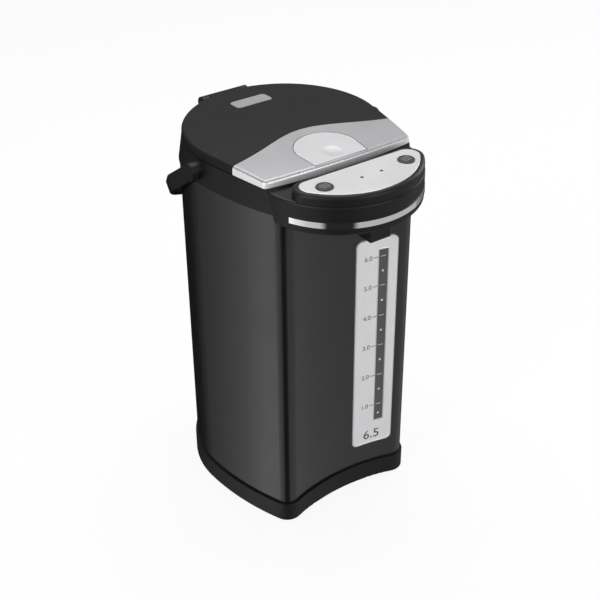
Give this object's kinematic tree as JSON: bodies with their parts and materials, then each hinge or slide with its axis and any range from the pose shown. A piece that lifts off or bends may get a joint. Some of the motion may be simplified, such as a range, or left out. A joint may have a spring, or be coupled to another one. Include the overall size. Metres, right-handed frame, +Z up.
{
  "type": "electric thermo pot",
  "caption": "Black water boiler with a round pot, hinged lid with a release lever, pump spout under a key panel, level gauge and a carrying bail.",
  "frame": {"origin": "bottom centre of the whole part's box, on the surface that the feet stand on", "axes": "+Z up, -Y towards the front with the spout, +X to the right seen from the front"},
  "size_m": [0.2156, 0.2804, 0.389],
  "materials": {
    "base_black": "satin",
    "foot_rubber": "matte",
    "screw_steel": "satin",
    "body_black": "satin metallic",
    "gauge_silver": "satin",
    "gauge_dark": "smoked, glossy",
    "tube_glass": "clear",
    "pot_steel": "satin",
    "seal_rubber": "matte silicone",
    "jacket_felt": "felt",
    "heater_alloy": "cast",
    "thermostat_steel": "satin",
    "motor_steel": "satin",
    "rotor_steel": "satin",
    "pump_white": "matte",
    "impeller_white": "matte",
    "hose_rubber": "translucent silicone",
    "head_black": "satin",
    "panel_silver": "satin silver paint",
    "trim_chrome": "polished",
    "button_dark": "satin",
    "spring_rubber": "matte silicone",
    "lamp_red": "clear lens",
    "lamp_dark": "clear lens",
    "board_green": "lacquered",
    "pin_brass": "polished",
    "lid_black": "satin",
    "band_silver": "satin silver paint",
    "chassis_black": "matte",
    "badge_silver": "satin",
    "lever_silver": "satin silver paint",
    "pin_steel": "satin",
    "bail_black": "satin"
  },
  "bodies": {
    "pot": {"base_shell": "base_black", "base_cover": "base_black", "rubber_feet": "foot_rubber", "base_screws": "screw_steel", "outer_shell": "body_black", "gauge_plate": "gauge_silver", "gauge_window": "gauge_dark", "sight_tube": "tube_glass", "inner_pot": "pot_steel", "pot_seal": "seal_rubber", "insulation_jacket": "jacket_felt", "heater_disc": "heater_alloy", "thermostat": "thermostat_steel", "pump_motor": "motor_steel", "pump_body": "pump_white", "pump_cover": "pump_white", "suction_sleeve": "hose_rubber", "delivery_hose": "hose_rubber", "spout_hose": "hose_rubber", "collar": "head_black", "head_cover": "head_black", "control_panel": "panel_silver", "head_trim": "trim_chrome", "boil_button_spring": "spring_rubber", "dispense_button_spring": "spring_rubber", "boil_lamp": "lamp_red", "warm_lamp": "lamp_dark", "control_board": "board_green", "spout_cover": "head_black", "spout_nozzle": "head_black", "power_board": "board_green", "power_inlet": "head_black", "inlet_pins": "pin_brass", "hinge_pin": "pin_steel", "bail_pivots": "pin_steel"},
    "lid": {"lid_shell": "lid_black", "lid_band": "band_silver", "lid_chassis": "chassis_black", "lid_liner": "pot_steel", "lid_seal": "seal_rubber", "lid_badge": "badge_silver", "lever_pin": "pin_steel", "latch_spring": "pin_steel"},
    "lever": {"release_lever": "lever_silver"},
    "latch": {"latch_bolt": "chassis_black"},
    "bail": {"carry_bail": "bail_black"},
    "boil_key": {"boil_button": "button_dark"},
    "dispense_key": {"dispense_button": "button_dark"},
    "impeller": {"pump_impeller": "impeller_white"},
    "rotor": {"motor_rotor": "rotor_steel"}
  },
  "joints": [
    {"name": "lid_hinge", "type": "hinge", "parent": "pot", "child": "lid", "pos_m": [0, 0.13073, 0.374], "axis": [-1, 0, 0], "range_deg": [0, 85]},
    {"name": "lever_press", "type": "hinge", "parent": "lid", "child": "lever", "pos_m": [0, -0.02177, 0.38406], "axis": [1, 0, 0], "range_deg": [0, 3.5], "stiffness_Nm_per_rad": 1.5, "springref_deg": -3.44},
    {"name": "latch_slide", "type": "slide", "parent": "lid", "child": "latch", "axis": [0, 1, 0], "range_m": [0, 0.003], "deforming": ["latch_spring"]},
    {"name": "bail_swing", "type": "hinge", "parent": "pot", "child": "bail", "pos_m": [0, 0.02023, 0.3668], "axis": [1, 0, 0], "range_deg": [0, 130]},
    {"name": "boil_press", "type": "slide", "parent": "pot", "child": "boil_key", "axis": [0, 0, -1], "range_m": [0, 0.0015], "stiffness_N_per_m": 400, "springref_m": -0.0005, "deforming": ["boil_button_spring"]},
    {"name": "dispense_press", "type": "slide", "parent": "pot", "child": "dispense_key", "axis": [0, 0, -1], "range_m": [0, 0.0015], "stiffness_N_per_m": 400, "springref_m": -0.0005, "deforming": ["dispense_button_spring"]},
    {"name": "rotor_spin", "type": "hinge", "parent": "pot", "child": "rotor", "pos_m": [0.0438, -0.02677, 0.0343], "axis": [0, 0, 1], "continuous": true},
    {"name": "impeller_spin", "type": "hinge", "parent": "pot", "child": "impeller", "pos_m": [0.0438, -0.02677, 0.0448], "axis": [0, 0, 1], "continuous": true}
  ],
  "couplings": [
    {"joint": "latch_slide", "follows": "lever_press", "m_per_rad": 0.0491},
    {"joint": "impeller_spin", "follows": "rotor_spin", "ratio": 1}
  ]
}
